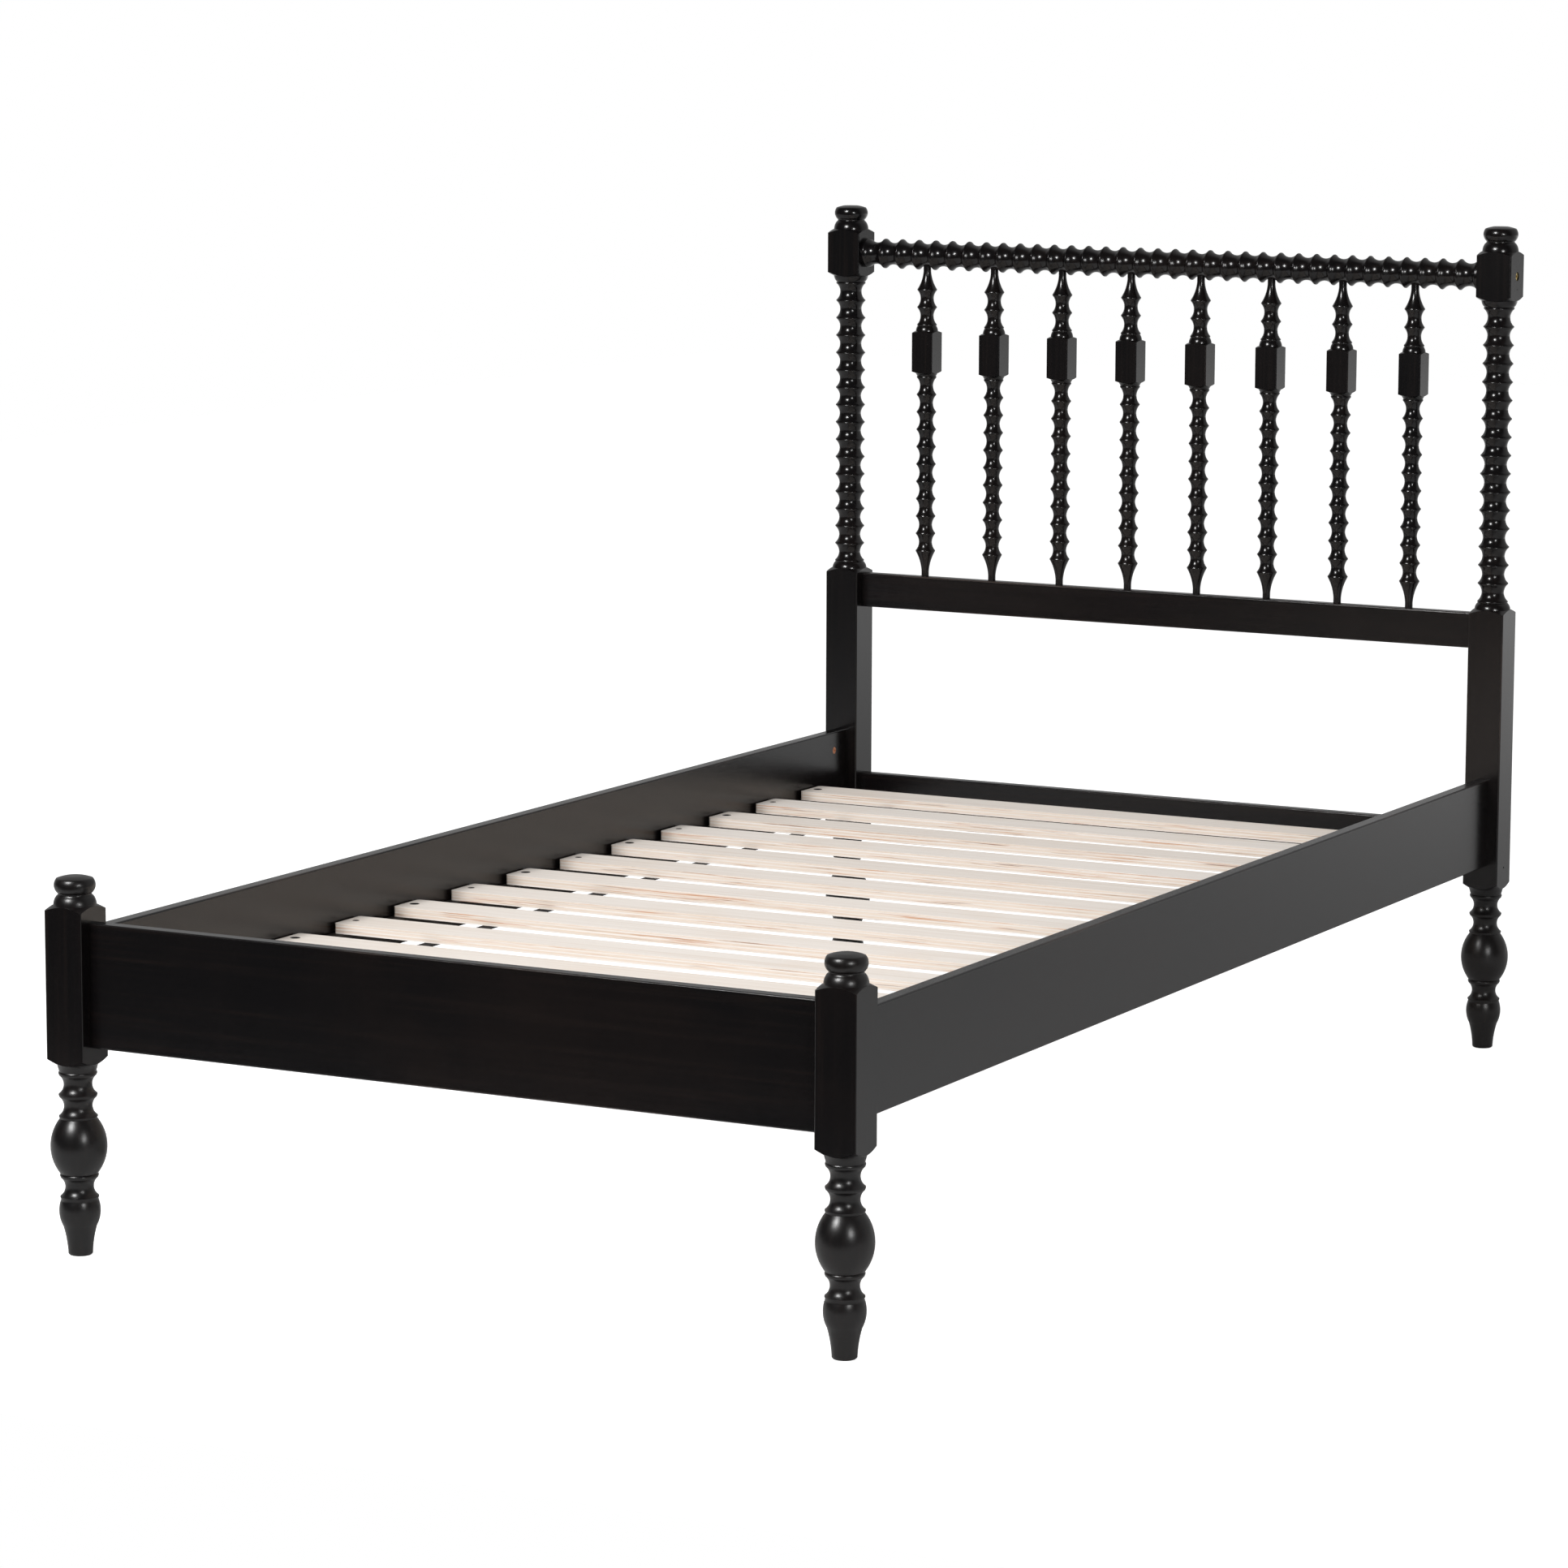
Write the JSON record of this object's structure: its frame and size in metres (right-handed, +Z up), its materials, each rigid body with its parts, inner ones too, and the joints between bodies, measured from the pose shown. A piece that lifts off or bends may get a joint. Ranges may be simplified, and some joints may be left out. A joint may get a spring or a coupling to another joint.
{
  "type": "spindle bed",
  "caption": "Single bed frame with turned legs, a ribbed spindle headboard, flat side and foot rails and a slatted base for a mattress.",
  "frame": {"origin": "on the floor, at the middle of the bed's outline", "axes": "+Z up, +Y from the foot towards the headboard, +X to the right seen from the foot"},
  "size_m": [1.0918, 2.0266, 1.1686],
  "materials": {
    "black_paint": "black satin paint over turned and planed wood, a faint grain showing",
    "slat_ply": "raw layered slat wood, pale and unfinished",
    "ledger_pine": "dark stained strip",
    "webbing": "black woven webbing",
    "brass_bolt": "brass-coloured bolt head",
    "copper_cam": "copper-coloured fitting",
    "zinc_steel": "zinc-plated steel",
    "dowel_beech": "plain beech",
    "black_screw": "black-coated steel",
    "staple_steel": "steel wire"
  },
  "bodies": {
    "root": {"foot_post_left": "black_paint", "foot_post_right": "black_paint", "foot_rail": "black_paint", "head_bottom_rail": "black_paint", "head_post_left": "black_paint", "head_post_right": "black_paint", "ledger_screws": "black_screw", "mid_rail": "black_paint", "rail_cam_bolts": "zinc_steel", "rail_cam_nuts": "copper_cam", "rail_dowels": "dowel_beech", "side_rail_left": "black_paint", "side_rail_right": "black_paint", "slat_01": "slat_ply", "slat_02": "slat_ply", "slat_03": "slat_ply", "slat_04": "slat_ply", "slat_05": "slat_ply", "slat_06": "slat_ply", "slat_07": "slat_ply", "slat_08": "slat_ply", "slat_09": "slat_ply", "slat_10": "slat_ply", "slat_11": "slat_ply", "slat_12": "slat_ply", "slat_13": "slat_ply", "slat_ledger_left": "ledger_pine", "slat_ledger_right": "ledger_pine", "slat_screws": "black_screw", "spindle_1": "black_paint", "spindle_2": "black_paint", "spindle_3": "black_paint", "spindle_4": "black_paint", "spindle_5": "black_paint", "spindle_6": "black_paint", "spindle_7": "black_paint", "spindle_8": "black_paint", "strap_staples": "staple_steel", "top_rail": "black_paint", "top_rail_bolts": "brass_bolt", "webbing_strap_left": "webbing", "webbing_strap_right": "webbing"}
  },
  "joints": []
}
